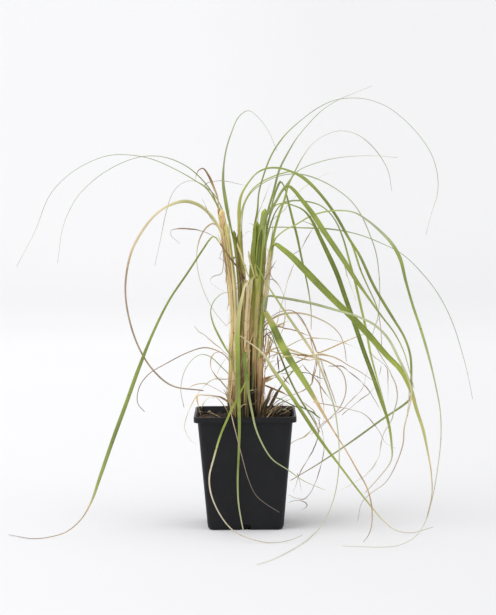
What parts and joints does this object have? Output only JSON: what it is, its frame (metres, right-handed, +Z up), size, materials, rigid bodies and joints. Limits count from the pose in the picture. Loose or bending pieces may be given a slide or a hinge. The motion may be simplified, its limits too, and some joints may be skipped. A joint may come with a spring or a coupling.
{
  "type": "potted ornamental grass",
  "caption": "Clump of arching ornamental grass blades rising from upright sheathed shoots in a square tapered nursery pot filled with soil.",
  "frame": {"origin": "middle of the flat underside of the pot, which rests on the ground", "axes": "+Z up, -Y is the front of the pot that faces the camera, +X to the right as seen from the front"},
  "size_m": [0.422, 0.3464, 0.3916],
  "materials": {
    "pot_black": "satin",
    "soil_dark": "matte",
    "leaf_green": "satin",
    "leaf_fresh_green": "satin",
    "leaf_olive": "satin",
    "leaf_grey_green": "satin",
    "leaf_pale": "matte",
    "leaf_tan": "matte",
    "leaf_brown": "matte"
  },
  "bodies": {
    "root": {"pot": "pot_black", "soil": "soil_dark", "tiller_01": "leaf_tan", "tiller_02": "leaf_olive", "tiller_03": "leaf_tan", "tiller_04": "leaf_green", "tiller_05": "leaf_green", "tiller_06": "leaf_tan", "tiller_07": "leaf_green", "tiller_08": "leaf_green", "tiller_09": "leaf_green", "tiller_10": "leaf_fresh_green", "tiller_11": "leaf_pale", "tiller_12": "leaf_olive", "stub_01": "leaf_brown", "stub_02": "leaf_brown", "stub_03": "leaf_brown", "leaf_left_far": "leaf_green", "leaf_left_high": "leaf_green", "leaf_left_back": "leaf_grey_green", "leaf_tan_arch": "leaf_tan", "leaf_brown_hook": "leaf_brown", "leaf_left_floor": "leaf_green", "leaf_tan_loop": "leaf_tan", "leaf_top_arch": "leaf_green", "leaf_low_loop": "leaf_green", "leaf_brown_left": "leaf_brown", "leaf_curl_left": "leaf_grey_green", "leaf_front_broad": "leaf_fresh_green", "leaf_front_left": "leaf_green", "leaf_front_tan": "leaf_tan", "leaf_front_right": "leaf_green", "leaf_broad_right": "leaf_fresh_green", "leaf_top_right": "leaf_green", "leaf_top_back": "leaf_green", "leaf_back_level": "leaf_grey_green", "leaf_high_bow": "leaf_green", "leaf_long_fold": "leaf_green", "leaf_inner_bow": "leaf_fresh_green", "leaf_grey_bow": "leaf_grey_green", "leaf_far_right": "leaf_green", "leaf_floor_right": "leaf_green", "leaf_back_drop": "leaf_green", "leaf_wide_fall": "leaf_green", "leaf_dark_fall": "leaf_green", "leaf_twist_fall": "leaf_green", "leaf_pale_sweep": "leaf_pale", "leaf_pale_low": "leaf_fresh_green", "leaf_yellow_trail": "leaf_fresh_green", "leaf_dark_low": "leaf_green", "leaf_thin_low": "leaf_green", "leaf_brown_stick": "leaf_brown", "leaf_tan_bow": "leaf_tan", "leaf_tan_hoop": "leaf_tan", "leaf_behind_long": "leaf_green", "leaf_behind_left": "leaf_green", "leaf_behind_right": "leaf_olive", "leaf_tan_far": "leaf_tan"}
  },
  "joints": []
}
